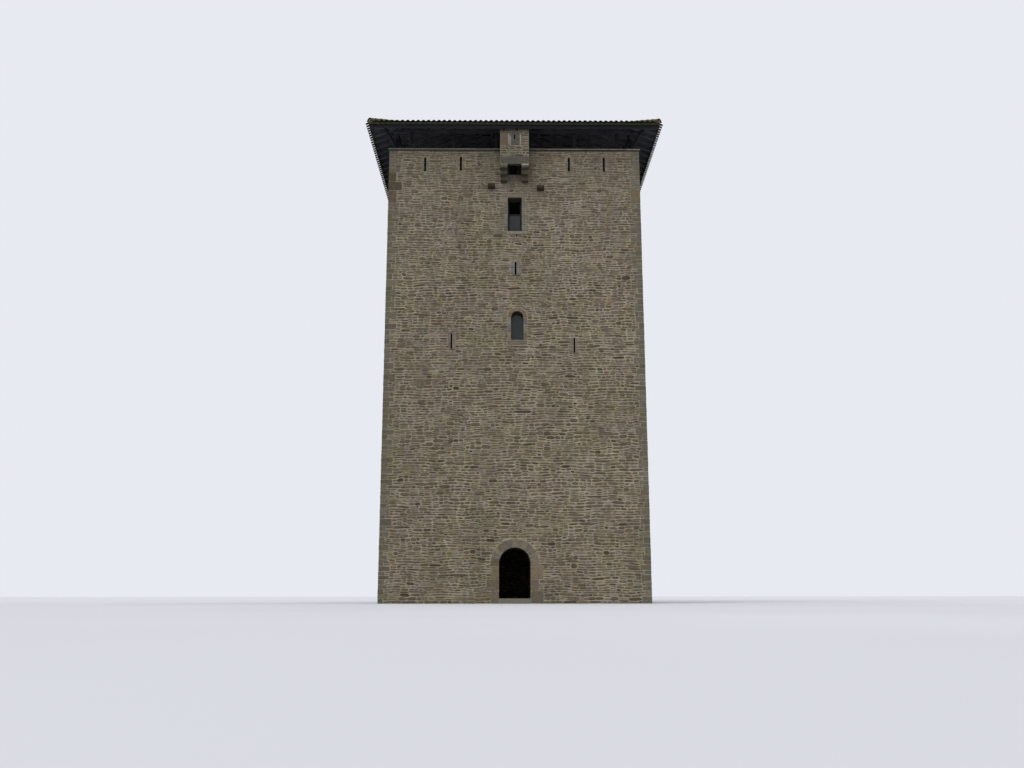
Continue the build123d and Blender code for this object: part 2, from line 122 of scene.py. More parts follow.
# Darker strips at the corners, a dusty film, the box's darker stone, the stubs' colour, and
# painted shade and shadow under the eaves and the coping
CORNER_STRIP = 0.7
FILM_FOOT = 17.5
FILM_SHARE = 0.34
# The painted shadow line under the coping: its depth, its strength, and how far out from the
# walls' faces it reaches
COPING_SHADOW_DEPTH = 0.075
COPING_SHADOW_SHARE = 0.7
COPING_SHADOW_RELIEF = 0.05
# Painted shade of the eaves starts here and deepens up the box
EAVE_SHADOW_FOOT = 24.55
BOX_SHADE = 0.75
BOX_RELIEF = 0.1
STUB_SHARE = 0.85

# Tiles, with their radii and beds at the lower and at the upper end
ROOF_SLOPE = 0.4
SLOPE_COS = 1 / math.sqrt(1 + ROOF_SLOPE ** 2)
EAVE_TOP = ROOF_HIGH.z - ROOF_SLOPE * EAVE
TILE_PITCH = 0.28
TILE_EXPOSURE = 0.36
TILE_LENGTH = 0.42
TILE_SHIFT = 0.15
TILE_THICKNESS = 0.016
TILE_BEDS = (0.028, 0.006)
HIP_LENGTH = 0.45
HIP_EXPOSURE = 0.37
HIP_RADII = (0.19, 0.172)
HIP_THICKNESS = 0.018
HIP_BEDS = (0.05, 0.025)

# Covers and channels, as whether they arch up, columns set back, overhang and radii
TILE_KINDS = ((True, 0.5, 0.04, (0.098, 0.08)), (False, 0.0, 0.2, (0.085, 0.097)))

SIDES = ("front", "right", "back", "left")

# Palettes, as weights and display colours
RUBBLE = [
    (26, (94, 85, 68)), (22, (88, 79, 62)), (16, (100, 91, 74)), (10, (81, 72, 56)),
    (5, (69, 60, 46)), (6, (95, 89, 73)), (4, (102, 88, 72)), (7, (116, 108, 93)),
    (2, (104, 92, 64)), (1, (106, 82, 67)),
]
GREY_DRESSED = [(5, (106, 101, 89)), (4, (113, 106, 92)), (2, (97, 91, 79))]
BROWN_DRESSED = [(3, (98, 87, 70)), (3, (109, 98, 79)), (2, (99, 92, 76))]
SLIT_STONES = [(3, (110, 103, 89)), (2, (102, 95, 80)), (2, (116, 110, 96))]
BLUISH_DRESSED = [(2, (108, 105, 100)), (1, (102, 100, 95))]
OCHRE_DRESSED = [(4, (107, 95, 67)), (2, (101, 89, 60)), (1, (96, 84, 66))]
QUOIN_COLOURS = [(5, (97, 92, 79)), (4, (98, 90, 76)), (3, (90, 84, 71)), (2, (104, 97, 84))]
COPING_STONES = [(3, (104, 101, 92)), (2, (94, 91, 82))]
TALL_LINTEL = [(1, (119, 112, 94))]
TALL_SILL = [(1, (122, 115, 101))]
SILL_SLAB = [(1, (100, 97, 85))]
ARCHED_SILL = [(1, (120, 114, 100))]
MOUTH_SLAB = [(1, (99, 92, 81))]
BOX_STONES = [(3, (108, 100, 79)), (3, (100, 93, 75)), (2, (90, 80, 64)), (1, (78, 66, 52))]
BOX_BAND = [(1, (90, 87, 77))]
PANEL_STONES = [(1, (84, 83, 73)), (1, (92, 90, 80))]
PINKISH_STONE = [(1, (110, 97, 84))]
JOINT_FILL = [(1, (168, 164, 150))]
CLAY = [(4, (96, 80, 54)), (3, (84, 76, 50)), (2, (110, 88, 58)), (3, (76, 76, 46))]
HIP_CLAY = [(3, (86, 78, 56)), (2, (100, 88, 62)), (2, (74, 70, 48))]

# Large quoins at the two front corners, as top, bottom, run on the front and colour
MARKED_QUOINS = {
    0: [
        (22.87, 22.355, 0.4, (67, 54, 31)), (22.31, 21.82, 0.72, (65, 54, 39)),
        (21.82, 21.1, 0.44, (89, 70, 58)),
    ],
    1: [(21.9, 21.1, 0.5, (105, 92, 68))],
}

# Wide joints beside those quoins, as left, right, foot, top and colour
WIDE_JOINTS = [
    (-HALF + 0.41, -HALF + 0.47, 22.36, 22.86, (140, 136, 112)),
    (-HALF + 0.45, -HALF + 0.5, 21.16, 21.8, (128, 114, 98)),
]


def srgb(red, green, blue):
    """A colour given in 0 to 255 display values, as linear values."""
    def linear(value):
        value /= 255
        return value / 12.92 if value <= 0.04045 else ((value + 0.055) / 1.055) ** 2.4
    return (linear(red), linear(green), linear(blue))


# Materials

class Tree:
    """Short calls for the nodes of a material or a world."""

    def __init__(self, tree):
        self.tree = tree

    def fill(self, node, values):
        """Sets or links a node's sockets. A socket that gets None stays as it is."""
        for key, value in values.items():
            socket = node.inputs[key]
            if isinstance(value, bpy.types.NodeSocket):
                self.tree.links.new(value, socket)
            elif value is not None:
                socket.default_value = (*value, 1.0) if socket.type == "RGBA" else value

    def node(self, kind, values=None, **settings):
        made = self.tree.nodes.new("ShaderNode" + kind)
        for key, value in settings.items():
            setattr(made, key, value)
        self.fill(made, values or {})
        return made

    def math(self, operation, first, second=0.0, clamp=False):
        values = {0: first, 1: second}
        return self.node("Math", values, operation=operation, use_clamp=clamp).outputs[0]


MATERIALS = {}


class Shader(Tree):
    """A material, with the patterns and stains that the surfaces here share."""

    def __init__(self, name):
        MATERIALS[name] = self.material = bpy.data.materials.new(name)
        self.material.use_nodes = True
        super().__init__(self.material.node_tree)
        self.place = self.node("TexCoord").outputs["Object"]

    def scaled(self, *scale):
        """The object's coordinates, scaled along each axis."""
        return self.node("Mapping", {"Vector": self.place, "Scale": scale}).outputs["Vector"]

    def noise(self, scale, detail=4.0, rough=0.55, place=None, distortion=0.0):
        """Noise over the object's coordinates, plain or scaled by a tuple, or over others."""
        if isinstance(place, tuple):
            place = self.scaled(*place)
        return self.node("TexNoise", {
            "Vector": place or self.place, "Scale": scale, "Detail": detail,
            "Roughness": rough, "Distortion": distortion,
        }).outputs["Fac"]

    def ramp(self, value, *stops):
        """A ramp over (position, colour or grey level) stops."""
        made = self.node("ValToRGB", {"Fac": value})
        elements = made.color_ramp.elements
        while len(elements) < len(stops):
            elements.new(0.5)
        for element, (position, colour) in zip(elements, stops):
            if not isinstance(colour, tuple):
                colour = (colour, colour, colour)
            element.position = position
            element.color = (*colour, 1.0)
        return made.outputs["Color"]

    def mix(self, factor, first, second, blend="MIX"):
        values = {"Factor": factor, 6: first, 7: second}
        return self.node("Mix", values, data_type="RGBA", blend_type=blend).outputs[2]

    def times(self, colour, level):
        return self.mix(1.0, colour, level, "MULTIPLY")

    def mottle(self, colour, low, high, *noise, **settings):
        """A colour times noise that runs from a low stop to a high one."""
        return self.times(colour, self.ramp(self.noise(*noise, **settings), low, high))

    def tint(self):
        """The colour that each face of a mesh carries."""
        return self.node("Attribute", attribute_name="tint").outputs["Color"]

    def bump(self, height, strength, distance, normal=None):
        return self.node("Bump", {
            "Strength": strength, "Distance": distance, "Height": height, "Normal": normal,
        }).outputs["Normal"]

    def axis(self, letter, source=None):
        return self.node("SeparateXYZ", {0: source or self.place}).outputs[letter]

    def away(self, letter):
        """Distance from the middle of the plan along one axis."""
        return self.math("ABSOLUTE", self.axis(letter))

    def from_middle(self):
        """Distance from the middle of the plan, square to the nearest side."""
        return self.math("MAXIMUM", self.away("X"), self.away("Y"))

    def beyond(self, relief):
        """1 where the surface stands out from the walls' faces by more than a relief."""
        return self.math("GREATER_THAN", self.from_middle(), HALF + relief)

    def within(self, relief):
        return self.math("LESS_THAN", self.from_middle(), HALF + relief)

    def above(self, height):
        return self.math("GREATER_THAN", self.axis("Z"), height)

    def rise(self, foot, top, share=1.0, clamp=False):
        """0 at the foot, and a share of 1 at the top."""
        height = self.math("SUBTRACT", self.axis("Z"), foot)
        return self.math("MULTIPLY", height, share / (top - foot), clamp=clamp)

    def upright(self):
        """How far the surface faces up, from -1 to 1."""
        return self.axis("Z", self.node("NewGeometry").outputs["Normal"])

    def painted_underside_shade(self, colour, start, stop, level):
        """Painted shade: a colour that darkens to a level where the surface faces down."""
        down = self.math("MULTIPLY", self.upright(), -1.0)
        return self.times(colour, self.ramp(down, (start, 1.0), (stop, level)))

    def zones(self, colour):
        """Wide zones of olive and pinkish, smaller ones of ochre and grey, a darker strip at the
        corners, paler stone to the right, and a film of dust over the upper part."""
        olive, pinkish = (0.34, (0.96, 0.98, 0.91)), (0.66, (1.03, 0.97, 1.01))
        ochre, grey = (0.34, (1.02, 1.0, 0.91)), (0.66, (0.98, 1.0, 1.08))
        colour = self.mottle(colour, olive, pinkish, 0.55, 3.0)
        colour = self.mottle(colour, ochre, grey, 1.9, 3.0)
        nearest = self.math("MINIMUM", self.away("X"), self.away("Y"))
        run = self.math("SUBTRACT", nearest, HALF - CORNER_STRIP)
        share = self.math("MULTIPLY", run, 1 / CORNER_STRIP, clamp=True)
        colour = self.times(colour, self.ramp(share, (0.0, 1.0), (0.8, (0.9, 0.93, 0.91))))
        along = self.math("MULTIPLY", self.math("ADD", self.axis("X"), HALF), 0.5 / HALF)
        paler = self.ramp(along, (0.1, 0.985), (0.5, 1.01), (0.8, (1.055, 1.05, 1.06)))
        colour = self.times(colour, paler)
        rise = self.rise(FILM_FOOT, WALL_TOP, FILM_SHARE)
        film = self.math("MULTIPLY", rise, self.within(BOX_RELIEF), clamp=True)
        return self.mix(film, colour, srgb(106, 99, 86))

    def sheltered(self, outside, inside):
        """One colour beyond the faces of the walls, turning into another within them."""
        depth = self.math("SUBTRACT", HALF, self.from_middle())
        return self.mix(self.math("MULTIPLY", depth, 2.0, clamp=True), outside, inside)

    def box_tone_and_painted_shade(self, colour):
        """Darker stone on the box, with painted shade that deepens up under the eaves where their
        shadow falls, and a painted shadow line on the walls right under the coping."""
        # Painted shadow of the eaves, darkening the top of the box
        rise = self.rise(EAVE_SHADOW_FOOT, BOX_HIGH.z, clamp=True)
        colour = self.times(colour, self.ramp(rise, (0.15, 1.0), (0.95, 0.34)))
        on_box = self.beyond(BOX_RELIEF)
        colour = self.times(colour, self.ramp(on_box, (0.0, 1.0), (1.0, BOX_SHADE)))
        # Painted shadow line right under the coping's overhang, in a dark colour
        high = self.above(WALL_TOP - COPING_SHADOW_DEPTH)
        line = self.math("MULTIPLY", high, self.within(COPING_SHADOW_RELIEF))
        return self.mix(self.math("MULTIPLY", line, COPING_SHADOW_SHARE), colour, srgb(40, 38, 32))

    def finish(self, colour, roughness, specular, normal=None):
        self.fill(self.tree.nodes["Principled BSDF"], {
            "Base Color": colour, "Roughness": roughness, "Specular IOR Level": specular,
            "Normal": normal,
        })


def stone_material():
    """Facing stones: their own tint, with zones, blotches, bedding, streaks, speckles, lichen and
    pits, darker stone on the box, and painted shade under the eaves, under the coping and on
    faces that look down."""
    sh = Shader("facing_stone")
    colour = sh.zones(sh.tint())
    colour = sh.mottle(colour, (0.3, 0.78), (0.7, 1.21), 8.0, 5.0)
    colour = sh.mottle(colour, (0.3, 0.82), (0.7, 1.14), 1.0, place=(5.0, 5.0, 46.0))
    colour = sh.mottle(colour, (0.35, 0.9), (0.62, 1.03), 1.0, place=(1.6, 1.6, 0.16))
    colour = sh.mottle(colour, (0.35, 0.9), (0.65, 1.08), 60.0, 3.0, 0.7)
    lichen = sh.ramp(sh.noise(11.0, 6.0, 0.7, distortion=0.6), (0.66, 0.0), (0.72, 0.4))
    # Lichen, then painted shade under the eaves and the coping and on faces that look down
    colour = sh.box_tone_and_painted_shade(sh.mix(lichen, colour, srgb(138, 134, 114)))
    colour = sh.painted_underside_shade(colour, 0.15, 0.6, 0.3)
    coarse = sh.noise(26.0, 6.0, 0.65)
    normal = sh.bump(coarse, 0.55, 0.012)
    normal = sh.bump(sh.noise(140.0, 3.0, 0.6), 0.35, 0.003, normal)
    sh.finish(colour, sh.ramp(coarse, (0.3, 0.82), (0.7, 0.96)), 0.25, normal)


def mortar_material():
    """The wall behind the facing stones: light mortar outside, with sand, repairs and damp,
    darker on the box, with painted shade under the eaves and the coping, and limewashed rubble
    inside, bare in the reveals, with painted shade on all faces that look down."""
    sh = Shader("mortar")
    base = sh.ramp(
        sh.noise(1.3, 6.0, 0.6),
        (0.3, srgb(130, 122, 104)), (0.5, srgb(143, 135, 116)), (0.72, srgb(154, 146, 127)),
    )
    outside = sh.mottle(sh.zones(base), (0.3, 0.86), (0.7, 1.12), 90.0, 3.0, 0.7)
    outside = sh.mottle(outside, (0.34, 0.86), (0.66, 1.13), 7.0)
    outside = sh.mottle(outside, (0.4, 0.84), (0.6, 1.0), 0.7, place=(1.6, 1.6, 0.5))
    # Painted shade under the eaves and the coping, and the box's darker stone
    outside = sh.box_tone_and_painted_shade(outside)
    values = {"Vector": sh.scaled(2.4, 2.4, 6.0), "Scale": 1.0}
    cells = sh.node("TexVoronoi", values, feature="DISTANCE_TO_EDGE")
    joints = sh.ramp(cells.outputs["Distance"], (0.02, 0.0), (0.12, 1.0))
    patches = sh.noise(2.5, 6.0)
    wash = sh.ramp(patches, (0.35, srgb(120, 112, 98)), (0.65, srgb(158, 150, 134)))
    bare = sh.ramp(patches, (0.35, srgb(84, 77, 63)), (0.65, srgb(112, 104, 87)))
    stones = sh.mix(sh.beyond(-0.55), wash, bare)
    inside = sh.mix(joints, srgb(104, 97, 84), stones)
    colour = sh.mix(sh.beyond(-0.005), inside, outside)
    # Painted shade on faces that look down: the soffits of openings and of the box
    soffit_shade = sh.math("LESS_THAN", sh.upright(), -0.5)
    colour = sh.mix(soffit_shade, colour, srgb(62, 54, 42))
    relief = sh.math("ADD", sh.noise(30.0, 6.0, 0.7), sh.math("MULTIPLY", joints, 1.5))
    sh.finish(colour, 0.95, 0.2, sh.bump(relief, 0.5, 0.015))


def timber_material(name, along, dark=(26, 26, 28), light=(42, 42, 45), inside=None):
    """Sawn timber under a dark stain, worn in patches, with its grain along an axis, both level
    ones or the hips. Inside the gallery it may be paler."""
    sh = Shader(name)
    fine, coarse = 30.0, 2.2
    if along == "hip":
        x, y = sh.away("X"), sh.away("Y")
        place = sh.node("CombineXYZ", {
            "X": sh.math("MULTIPLY", sh.math("SUBTRACT", x, y), fine),
            "Y": sh.math("MULTIPLY", sh.math("ADD", x, y), coarse),
            "Z": sh.math("MULTIPLY", sh.axis("Z"), fine),
        }).outputs["Vector"]
    else:
        place = tuple(coarse if letter in along else fine for letter in "xyz")
    ring = sh.noise(1.0, 6.0, 0.65, place, 0.4)
    colour = sh.ramp(ring, (0.3, srgb(*dark)), (0.72, srgb(*light)))
    if inside:
        pale = sh.ramp(ring, *zip((0.3, 0.72), (srgb(*stain) for stain in inside)))
        colour = sh.sheltered(colour, pale)
    if along == "xy":
        # Boards round the eaves, with paler backs
        geometry = sh.node("NewGeometry").outputs
        values = {0: geometry["Position"], 1: geometry["Normal"]}
        turned = sh.node("VectorMath", values, operation="DOT_PRODUCT")
        outward = sh.math("GREATER_THAN", turned.outputs["Value"], 0.0)
        colour = sh.mix(outward, srgb(58, 58, 61), colour)
    colour = sh.mottle(colour, (0.35, 0.75), (0.7, 1.35), 1.7)
    sh.finish(colour, sh.ramp(ring, (0.3, 0.66), (0.7, 0.88)), 0.2, sh.bump(ring, 0.4, 0.006))


def tile_material(name, *plain):
    """Weathered clay: each tile's own tint or one plain colour, with moss and lichen, and painted
    shade on the faces that look down.
    """
    sh = Shader(name)
    colour = sh.mottle(srgb(*plain) if plain else sh.tint(), (0.3, 0.72), (0.7, 1.2), 7.0, 5.0)
    moss = sh.ramp(sh.noise(2.4, 7.0, 0.68), (0.5, 0.0), (0.6, 0.85))
    colour = sh.mix(moss, colour, srgb(72, 74, 38))
    lichen = sh.ramp(sh.noise(11.0, 6.0, 0.7, distortion=0.8), (0.6, 0.0), (0.66, 0.8))
    colour = sh.mix(lichen, colour, srgb(150, 142, 92))
    # Painted shade on faces that look down, such as the hollows under the covers
    colour = sh.painted_underside_shade(colour, 0.05, 0.4, 0.32)
    sh.finish(colour, 0.93, 0.2, sh.bump(sh.noise(34.0, 6.0, 0.7), 0.6, 0.01))


def slab_material():
    """The roof slab: boards seen from below, mortar bed seen from above."""
    sh = Shader("roof_boards")
    facing = sh.math("GREATER_THAN", sh.upright(), -0.2)
    ring = sh.noise(1.0, 5.0, 0.6, (14.0, 14.0, 40.0), 0.3)
    boards = sh.sheltered(
        sh.ramp(ring, (0.3, srgb(55, 56, 61)), (0.7, srgb(67, 68, 72))),
        sh.ramp(ring, (0.3, srgb(122, 121, 124)), (0.7, srgb(144, 142, 145))),
    )
    gap = sh.math("FRACT", sh.math("MULTIPLY", sh.from_middle(), 1 / 0.17))
    edge = sh.ramp(gap, (0.0, 0.45), (0.05, 1.0), (0.95, 1.0), (1.0, 0.45))
    bed = sh.ramp(sh.noise(6.0, 6.0), (0.3, srgb(34, 36, 24)), (0.7, srgb(58, 56, 38)))
    colour = sh.mix(facing, sh.times(boards, edge), bed)
    sh.finish(colour, 0.85, 0.25, sh.bump(ring, 0.3, 0.005))


def board_material(name, dark, light, width):
    """Floor boards or flags in a running pattern."""
    sh = Shader(name)
    brick = sh.node("TexBrick", {
        "Vector": sh.place, "Scale": 1.0, "Brick Width": width * 9, "Row Height": width,
        "Mortar Size": 0.006, "Color1": srgb(*dark), "Color2": srgb(*light),
        "Mortar": srgb(28, 24, 20),
    }, offset=0.37, squash=1.0)
    ring = sh.noise(1.0, 6.0, 0.6, (3.0, 40.0, 40.0))
    colour = sh.times(brick.outputs["Color"], sh.ramp(ring, (0.3, 0.75), (0.7, 1.15)))
    sh.finish(colour, 0.8, 0.3, sh.bump(ring, 0.3, 0.004))


def dressed_material():
    """Tooled stone in one piece: the corbels, their pale beds and the dark stubs, with painted
    shade on faces that look down.
    """
    sh = Shader("dressed_stone")
    colour = sh.ramp(
        sh.noise(2.1, 5.0),
        (0.3, srgb(70, 62, 49)), (0.5, srgb(84, 77, 63)), (0.7, srgb(94, 83, 72)),
    )
    colour = sh.mottle(colour, (0.35, 0.72), (0.65, 1.08), 1.0, place=(3.0, 3.0, 0.5))
    # Painted shade on faces that look down, under each corbel course
    colour = sh.painted_underside_shade(colour, 0.05, 0.6, 0.62)
    on_stubs = sh.math("MULTIPLY", sh.math("LESS_THAN", sh.axis("Z"), STUB_TOP), STUB_SHARE)
    on_stubs = sh.math("MULTIPLY", on_stubs, sh.above(1.0))
    colour = sh.mix(on_stubs, colour, srgb(40, 31, 22))
    to_right = sh.math("GREATER_THAN", sh.axis("X"), BOX_MIDDLE)
    bed = sh.mix(to_right, srgb(96, 93, 82), srgb(142, 137, 123))
    colour = sh.mix(sh.above(BOX_LOW.z - CORBEL_BED), colour, bed)
    sh.finish(colour, 0.92, 0.25, sh.bump(sh.noise(30.0, 6.0, 0.65), 0.5, 0.01))


def glass_material():
    """Plain glass in old panes: dark behind, faintly wavy and dusty; its colour is painted shade,
    the dark of the room behind.
    """
    sh = Shader("window_glass")
    # Painted dark for the shade of the room behind, varied where the panes are dusty
    dark_room_and_dust = sh.ramp(sh.noise(5.0, 5.0), (0.35, srgb(35, 40, 40)), (0.7, srgb(44, 48, 47)))
    wave = sh.noise(3.0, 2.0)
    sh.finish(dark_room_and_dust, sh.ramp(wave, (0.3, 0.12), (0.7, 0.22)), 0.35, sh.bump(wave, 0.08, 0.01))


RAFTER_STAIN = ((57, 58, 62), (78, 78, 82), ((92, 92, 96), (112, 111, 115)))

stone_material()
mortar_material()
dressed_material()
slab_material()
glass_material()
timber_material("stained_timber_x", "x", (44, 44, 47), (62, 62, 66))
timber_material("stained_timber_y", "y")
timber_material("stained_timber_z", "z")
timber_material("stained_timber_braces", "hip", (20, 20, 22), (34, 34, 37))
timber_material("rafters_x", "x", *RAFTER_STAIN)
timber_material("rafters_y", "y", *RAFTER_STAIN)
timber_material("hip_rafters", "hip", *RAFTER_STAIN)
timber_material("fascia_boards", "xy", (13, 13, 15), (22, 22, 25))
tile_material("clay_tiles")
tile_material("clay_cap", 108, 92, 62)
tile_material("hip_bed", 96, 88, 66)
board_material("oak_boards", (92, 73, 52), (116, 94, 68), 0.18)
board_material("weathered_boards", (146, 141, 133), (166, 161, 152), 0.18)
board_material("flagstones", (92, 86, 74), (112, 105, 92), 0.5)


# Meshes

def add_object(name, data):
    made = bpy.data.objects.new(name, data)
    bpy.context.scene.collection.objects.link(made)
    return made


def make_piece(name, rings, tints, slot):
    """Many closed solids in one piece that rides on the building. Each ring holds (solids,
    points, 3), and every solid joins its rings in turn and is capped at both ends."""
    rings = np.swapaxes(np.array(rings), 0, 1)
    solids, levels, points, _ = rings.shape
    base = (np.arange(solids) * levels * points)[:, None]
    around = np.arange(points)
    after = (around + 1) % points
    faces = []
    for low in range(0, (levels - 1) * points, points):
        high = low + points
        quad = np.stack([low + around, low + after, high + after, high + around], axis=1)
        faces.append((base[:, :, None] + quad[None]).reshape(solids, -1))
    first = base + around[::-1][None]
    last = base + (levels - 1) * points + around[None]
    corners = np.concatenate([*faces, first, last], axis=1).ravel()
    per_solid = [4] * (points * (levels - 1)) + [points, points]
    counts = np.tile(per_solid, solids)

    mesh = bpy.data.meshes.new(name)
    mesh.vertices.add(rings.size // 3)
    mesh.vertices.foreach_set("co", rings.ravel().astype(np.float32))
    mesh.loops.add(len(corners))
    mesh.loops.foreach_set("vertex_index", corners.astype(np.int32))
    mesh.polygons.add(len(counts))
    mesh.polygons.foreach_set("loop_start", (np.cumsum(counts) - counts).astype(np.int32))
    rgba = np.ones((len(counts), 4), np.float32)
    rgba[:, :3] = np.repeat(tints, len(per_solid), axis=0)
    mesh.attributes.new("tint", "FLOAT_COLOR", "FACE").data.foreach_set("color", rgba.ravel())
    is_tile = slot == "clay_tile"
    mesh.polygons.foreach_set("use_smooth", np.full(len(counts), is_tile))
    mesh.update(calc_edges=True)
    if is_tile:
        mesh.set_sharp_from_angle(angle=math.radians(50))
    mesh.materials.append(MATERIALS["clay_tiles" if is_tile else "facing_stone"])
    piece = add_object(name, mesh)
    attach(piece, "root")


class Surface:
    """An upright face of the building: u runs to the right as seen from outside, v is the
    height, w stands out from the face."""

    def __init__(self, angle, distance=0.0, shift=0.0):
        turn = Matrix.Rotation(math.radians(angle), 3, "Z")
        self.right = np.array(turn @ Vector((1, 0, 0)))
        self.out = np.array(turn @ Vector((0, -1, 0)))
        self.origin = self.out * distance + self.right * shift

    def place(self, u, v, w):
        point = self.origin + u[..., None] * self.right + w[..., None] * self.out
        point[..., 2] += v
        return point


def add_block(rings, surface, u0, u1, w0, w1, low, high, bevel):
    """Adds a block with its corners and edges bevelled, as four rings of eight points."""
    levels = ((low, bevel), (low + bevel, 0), (high - bevel, 0), (high, bevel))
    for ring, (height, inset) in zip(rings, levels):
        left, right, back, front = u0 + inset, u1 - inset, w0 + inset, w1 - inset
        us = [left + bevel, right - bevel, right, right, right - bevel, left + bevel, left, left]
        ws = [front, front, front - bevel, back + bevel, back, back, back + bevel, front - bevel]
        ring.append(surface.place(np.array(us), height, np.array(ws)))


def pick(palette, rng, spread):
    """A colour from a palette, a little lighter or darker."""
    colours = [srgb(*colour) for _, colour in palette]
    weights = [weight for weight, _ in palette]
    colour = rng.choices(colours, weights)[0]
    level = rng.gauss(1.0, spread)
    return tuple(max(0.0, channel * level) for channel in colour)


def share_out(rng, low, high, mean, spread):
    """Cuts a length into parts of about a mean length, and gives all their ends."""
    count = max(1, round((high - low) / mean))
    parts = [rng.uniform(1 - spread, 1 + spread) for _ in range(count)]
    ends = [low]
    for part in parts:
        ends.append(ends[-1] + part * (high - low) / sum(parts))
    return ends


def pairs(ends):
    return zip(ends, ends[1:])


# Masonry

def rectangle(u0, u1, v0, v1):
    return [(u0, v0), (u1, v0), (u1, v1), (u0, v1)]


def unit(vectors):
    return vectors / (np.linalg.norm(vectors, axis=2, keepdims=True) + 1e-9)


class Masonry:
    """Facing stones on one surface, gathered as four-cornered outlines and made together."""

    def __init__(self, surface, seed, blocked=(), palette=RUBBLE, scale=1.0):
        self.surface = surface
        self.rng = random.Random(seed)
        self.phase = self.rng.uniform(0, 6)
        self.blocked = list(blocked)
        self.palette = palette
        self.scale = scale
        # Outline, relief, tint and wear, from 0, cut square, to 1, rounded at the ends
        self.stones = []

    def clear(self, u0, u1, v0, v1):
        """Keeps stones off a rectangle."""
        self.blocked.append((u0, u1, v0, v1))

    def opening(self, middle, foot, size):
        """Keeps stones off an opening, and gives its left and right edges."""
        left, right = middle - size[0] / 2, middle + size[0] / 2
        self.clear(left, right, foot, foot + size[1])
        return left, right

    def block(self, u0, u1, v0, v1, palette, joint=0.006, proud=DRESSED_RELIEF, spread=0.06):
        """One dressed stone, with the joint taken off all round."""
        self.clear(u0, u1, v0, v1)
        outline = rectangle(u0 + joint, u1 - joint, v0 + joint, v1 - joint)
        self.stones.append((outline, proud, pick(palette, self.rng, spread), DRESSED_WEAR))

    def free_spans(self, v0, v1, u_low, u_high):
        """The stretches of a course that nothing blocks, each with its own bed and top."""
        edges = {u_low, u_high}
        near = [b for b in self.blocked if b[2] < v1 - TOUCH and b[3] > v0 + TOUCH]
        for b0, b1, _, _ in near:
            edges.update(x for x in (b0, b1) if u_low < x < u_high)
        spans = []
        for left, right in pairs(sorted(edges)):
            middle = (left + right) / 2
            bed, top = v0, v1
            for b0, b1, c0, c1 in near:
                if b0 < middle < b1:
                    if c0 - bed > top - c1:
                        top = min(top, c0)
                    else:
                        bed = max(bed, c1)
            if top - bed < LEAST_HEIGHT or right - left < LEAST_GAP:
                continue
            if spans and abs(spans[-1][1] - left) < TOUCH and spans[-1][2:] == (bed, top):
                spans[-1] = (spans[-1][0], right, bed, top)
            else:
                spans.append((left, right, bed, top))
        return spans

    def rubble(self, u_low, u_high, v_low, v_high):
        """Courses of flat rubble over a rectangle, round all that is blocked."""
        ends = ((u_low, u_high, v_low, v_low), (u_low, u_high, v_high, v_high))
        self.fixed = [*self.blocked, *ends]
        v = v_low
        while v < v_high - 0.05:
            height = self.rng.choice(COURSES) * self.scale
            if v_high - v - height < 0.08:
                height = v_high - v
            jumpers = []
            for span in self.free_spans(v, v + height, u_low, u_high):
                self.fill(*span, height, v_high, jumpers)
            self.blocked.extend(jumpers)
            v += height

    def fill(self, left, right, bed, top, height, v_high, jumpers):
        """Stones along one free stretch of a course. Some jump up into the next course, and
        some high ones are split."""
        rng = self.rng
        u = left
        while u < right - TOUCH:
            length = min(max(rng.lognormvariate(*STONE_LENGTH), SHORTEST), LONGEST) * self.scale
            if right - u - length < LEAST_END:
                length = right - u
            if length > 1.1:
                length /= 2
            crown = top
            full = abs(top - bed - height) < TOUCH
            if full and rng.random() < 0.1 and top + 0.13 < v_high and length < 0.6:
                crown = top + rng.choice(JUMPS)
                jumpers.append((u, u + length, top, crown))
            parts = [(bed, crown)]
            if crown - bed > SPLIT_HEIGHT and rng.random() < 0.5:
                split = bed + (crown - bed) * rng.uniform(0.38, 0.62)
                parts = [(bed, split), (split, crown)]
            for low, high in parts:
                self.rubble_stone(u, u + length, low, high)
            u += length

    def rubble_stone(self, u0, u1, v0, v1):
        """One flat stone with worn, uneven ends, proud of the mortar by a little."""
        rng = self.rng
        side = rng.uniform(0.0, 0.012)
        bed = min(rng.uniform(0.009, 0.036), (v1 - v0) * 0.25)
        slack = min(0.018, (v1 - v0) * 0.12)
        outline = [
            (u + rng.uniform(-slack, slack), v + rng.uniform(-slack, slack))
            for u, v in rectangle(u0 + side, u1 - side, v0 + bed, v1 - bed)
        ]
        proud = rng.uniform(0.004, 0.028)
        tint = pick(self.palette, rng, 0.1)
        self.stones.append((outline, proud, tint, rng.uniform(0.5, 1.0)))

    def sway(self, u, v):
        """How far the beds wander up or down at a place. They run level beside anything cut."""
        wander = (
            0.026 * np.sin(0.9 * u + 2.1 * v + self.phase)
            + 0.019 * np.sin(2.3 * u - 1.3 * v + 2 * self.phase)
            + 0.014 * np.sin(5.1 * u + 2.7 * v)
        )
        calm = np.ones_like(u)
        for left, right, low, high in self.fixed:
            away_u = np.maximum(np.maximum(left - u, u - right), 0)
            away_v = np.maximum(np.maximum(low - v, v - high), 0)
            calm = np.minimum(calm, np.hypot(away_u, away_v) / 0.35)
        return wander * calm

    def make(self, name):
        """Cuts the corners off all the outlines, lets them sway with the beds, and gives each
        stone a bevelled, slightly tilted face, cut back further along its foot."""
        quads, proud, tints, wear = (np.array(column) for column in zip(*self.stones))
        noise = np.random.default_rng(self.rng.randrange(1 << 30))
        size = np.linalg.norm(quads[:, [1, 3]] - quads[:, [0]], axis=2)
        cut = np.minimum(size * (0.04 + wear[:, None] * (0.24, 0.34)), (0.15, 0.05))
